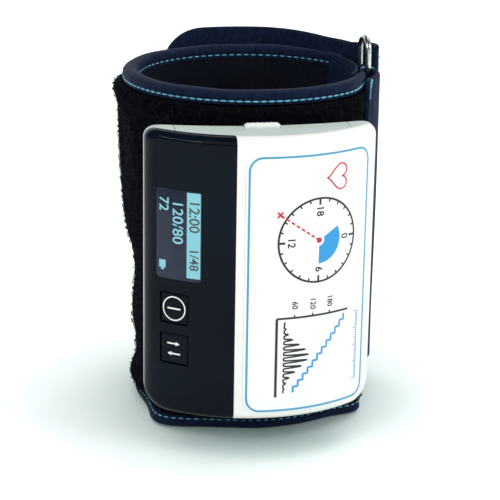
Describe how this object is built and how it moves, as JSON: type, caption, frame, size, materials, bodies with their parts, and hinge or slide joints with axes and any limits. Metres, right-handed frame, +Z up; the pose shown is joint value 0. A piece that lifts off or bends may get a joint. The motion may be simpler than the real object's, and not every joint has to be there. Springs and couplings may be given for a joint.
{
  "type": "ambulatory blood pressure monitor",
  "caption": "Tubeless ambulatory blood pressure monitor clipped to its padded arm cuff, with display, push buttons, battery door, metal cuff ring and fold-back tail.",
  "frame": {"origin": "bottom centre of the bounding box, on the surface that the cuff stands on", "axes": "+Z up along the arm's axis, the monitor faces -Y, +X towards the cuff ring"},
  "size_m": [0.1076, 0.1328, 0.151],
  "materials": {
    "white_cover": "moulded white ABS, smooth satin",
    "grey_cover": "moulded light grey ABS, satin",
    "black_panel": "near-black high-gloss panel",
    "clear_window": "smoked clear window over the display",
    "navy_nylon": "navy nylon weave",
    "loop_velour": "blue-black loop velour",
    "hook_tape": "hook tape",
    "rubber": "moulded rubber",
    "steel": "bright plated steel",
    "board_green": "solder mask",
    "cell_jacket": "plain printed cell jacket",
    "silicone": "translucent silicone",
    "label_foil": "satin polyester label",
    "inner_plastic": "moulded dark grey plastic"
  },
  "bodies": {
    "cuff": {"cuff_liner": "navy_nylon", "air_bladder": "rubber", "cuff_velour": "loop_velour", "bottom_binding": "navy_nylon", "top_binding": "navy_nylon", "ring_loop": "navy_nylon", "tail_strap": "navy_nylon", "skin_guard": "navy_nylon", "holder_plate": "inner_plastic", "plate_rivet_1": "steel", "plate_rivet_2": "steel", "plate_rivet_3": "steel", "plate_rivet_4": "steel", "port_grommet": "rubber"},
    "ring": {"cuff_ring": "steel"},
    "tail": {"cuff_tail": "navy_nylon", "hook_patch": "hook_tape"},
    "monitor": {"display_panel": "black_panel", "display_window": "clear_window", "front_cover": "white_cover", "label_foil": "label_foil", "rear_housing": "grey_cover", "housing_screw_1": "steel", "housing_screw_2": "steel", "housing_screw_3": "steel", "housing_screw_4": "steel", "main_board": "board_green", "display_module": "inner_plastic", "pressure_sensor": "inner_plastic", "buzzer": "inner_plastic", "start_switch": "inner_plastic", "transfer_switch": "inner_plastic", "cell_1": "cell_jacket", "cell_2": "cell_jacket", "cell_spring_1": "steel", "cell_spring_2": "steel", "lower_contact": "steel", "battery_shelf": "inner_plastic", "pump_motor": "steel", "pump_head": "inner_plastic", "air_manifold": "inner_plastic", "valve_body": "inner_plastic", "valve_tube": "silicone", "sensor_tube": "silicone", "air_spout": "inner_plastic", "spout_seal": "rubber"},
    "door": {"battery_door": "grey_cover", "door_contact": "steel"},
    "latch": {"door_latch": "white_cover"},
    "start_button": {"start_button": "black_panel"},
    "transfer_button": {"transfer_button": "black_panel"},
    "pump_rotor": {"pump_rotor": "steel"},
    "valve_plunger": {"valve_plunger": "steel"}
  },
  "joints": [
    {"name": "monitor_release", "type": "slide", "parent": "cuff", "child": "monitor", "axis": [0, -1, 0], "range_m": [0, 0.04]},
    {"name": "start_button_press", "type": "slide", "parent": "monitor", "child": "start_button", "axis": [0.5675, 0.8234, 0], "range_m": [0, 0.0006], "stiffness_N_per_m": 1500, "springref_m": -0.0002},
    {"name": "transfer_button_press", "type": "slide", "parent": "monitor", "child": "transfer_button", "axis": [0.5675, 0.8234, 0], "range_m": [0, 0.0006], "stiffness_N_per_m": 1500, "springref_m": -0.0002},
    {"name": "battery_door_slide", "type": "slide", "parent": "monitor", "child": "door", "axis": [0, 0, 1], "range_m": [0, 0.015]},
    {"name": "door_latch_press", "type": "slide", "parent": "door", "child": "latch", "axis": [0, -1, 0], "range_m": [0, 0.0008], "stiffness_N_per_m": 1500, "springref_m": -0.0002},
    {"name": "pump_rotor_spin", "type": "hinge", "parent": "monitor", "child": "pump_rotor", "pos_m": [-0.00233, -0.05536, 0.0352], "axis": [0, 0, 1], "continuous": true},
    {"name": "valve_plunger_stroke", "type": "slide", "parent": "monitor", "child": "valve_plunger", "axis": [0, 0, -1], "range_m": [0, 0.001], "stiffness_N_per_m": 500, "springref_m": -0.0004},
    {"name": "ring_slide", "type": "slide", "parent": "cuff", "child": "ring", "axis": [0, 0, 1], "range_m": [-0.0065, 0.001]},
    {"name": "tail_peel", "type": "hinge", "parent": "cuff", "child": "tail", "pos_m": [0.04754, 0.02927, 0.07], "axis": [0, 0, -1], "range_deg": [0, 100]}
  ]
}
